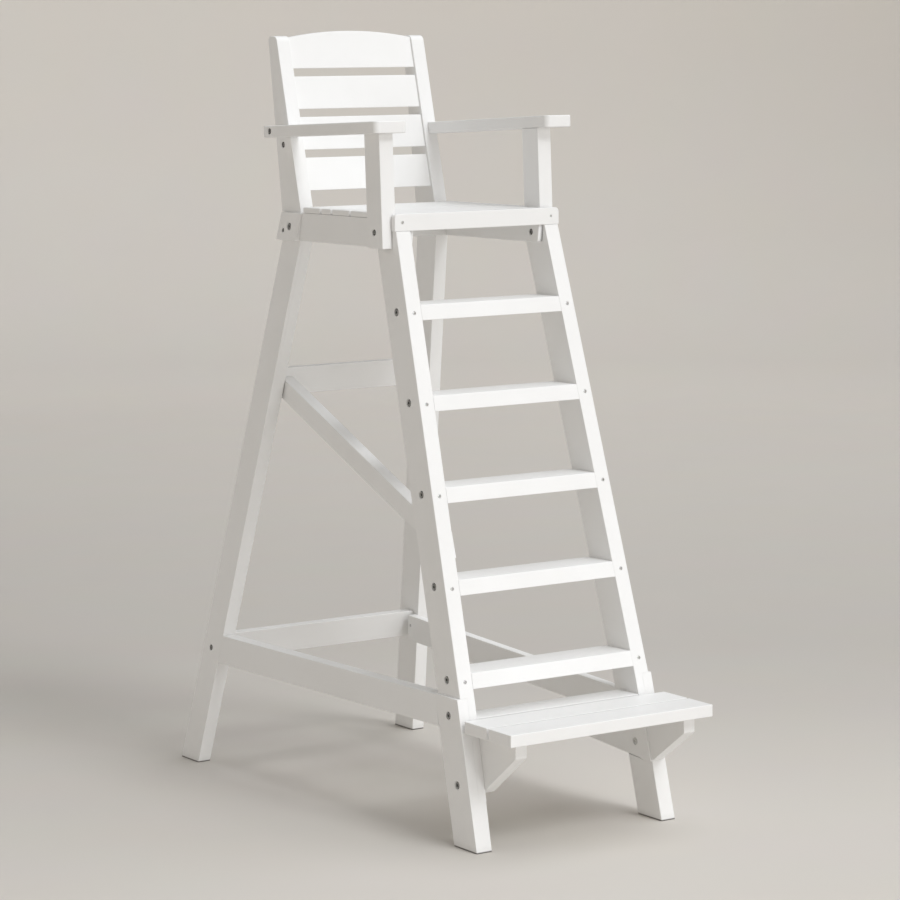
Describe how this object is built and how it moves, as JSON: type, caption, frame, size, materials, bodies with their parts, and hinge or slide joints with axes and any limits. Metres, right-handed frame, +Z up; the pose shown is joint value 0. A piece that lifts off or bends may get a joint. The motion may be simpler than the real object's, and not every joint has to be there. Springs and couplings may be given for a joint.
{
  "type": "lifeguard chair",
  "caption": "Tall white timber lifeguard chair: slatted seat and back, armrests, raked ladder on the front legs, footrest, splayed and braced rear legs.",
  "frame": {"origin": "on the floor, centred under the box of the chair in X and in Y", "axes": "+Z up, the ladder and the footrest face -Y, -X is the side with the diagonal brace"},
  "size_m": [0.8692, 1.7546, 2.336],
  "materials": {
    "white_painted_timber": "white satin paint on planed timber",
    "bolt_steel": "zinc plated steel"
  },
  "bodies": {
    "root": {"left_ladder_stile": "white_painted_timber", "right_ladder_stile": "white_painted_timber", "left_lower_leg": "white_painted_timber", "right_lower_leg": "white_painted_timber", "ladder_rung_1": "white_painted_timber", "ladder_rung_2": "white_painted_timber", "ladder_rung_3": "white_painted_timber", "ladder_rung_4": "white_painted_timber", "ladder_rung_5": "white_painted_timber", "left_rear_leg": "white_painted_timber", "right_rear_leg": "white_painted_timber", "upper_rear_rail": "white_painted_timber", "lower_rear_rail": "white_painted_timber", "left_side_stretcher": "white_painted_timber", "right_side_stretcher": "white_painted_timber", "diagonal_brace": "white_painted_timber", "left_seat_rail": "white_painted_timber", "right_seat_rail": "white_painted_timber", "front_apron": "white_painted_timber", "rear_apron": "white_painted_timber", "seat_slat_1": "white_painted_timber", "seat_slat_2": "white_painted_timber", "seat_slat_3": "white_painted_timber", "seat_slat_4": "white_painted_timber", "seat_slat_5": "white_painted_timber", "seat_slat_6": "white_painted_timber", "left_back_post": "white_painted_timber", "right_back_post": "white_painted_timber", "back_slat_1": "white_painted_timber", "back_slat_2": "white_painted_timber", "back_slat_3": "white_painted_timber", "back_slat_4": "white_painted_timber", "left_corner_block": "white_painted_timber", "right_corner_block": "white_painted_timber", "left_arm_post": "white_painted_timber", "right_arm_post": "white_painted_timber", "left_armrest": "white_painted_timber", "right_armrest": "white_painted_timber", "footrest_board_1": "white_painted_timber", "footrest_board_2": "white_painted_timber", "footrest_board_3": "white_painted_timber", "left_footrest_bracket": "white_painted_timber", "right_footrest_bracket": "white_painted_timber", "right_footrest_bearer": "white_painted_timber", "left_rung_bolt_1": "bolt_steel", "left_rung_bolt_2": "bolt_steel", "left_rung_bolt_3": "bolt_steel", "left_rung_bolt_4": "bolt_steel", "left_rung_bolt_5": "bolt_steel", "right_rung_bolt_1": "bolt_steel", "right_rung_bolt_2": "bolt_steel", "right_rung_bolt_3": "bolt_steel", "right_rung_bolt_4": "bolt_steel", "right_rung_bolt_5": "bolt_steel", "left_leg_bolt_upper": "bolt_steel", "left_leg_bolt_lower": "bolt_steel", "right_leg_bolt_upper": "bolt_steel", "right_leg_bolt_lower": "bolt_steel", "left_post_bolt": "bolt_steel", "right_post_bolt": "bolt_steel"}
  },
  "joints": []
}
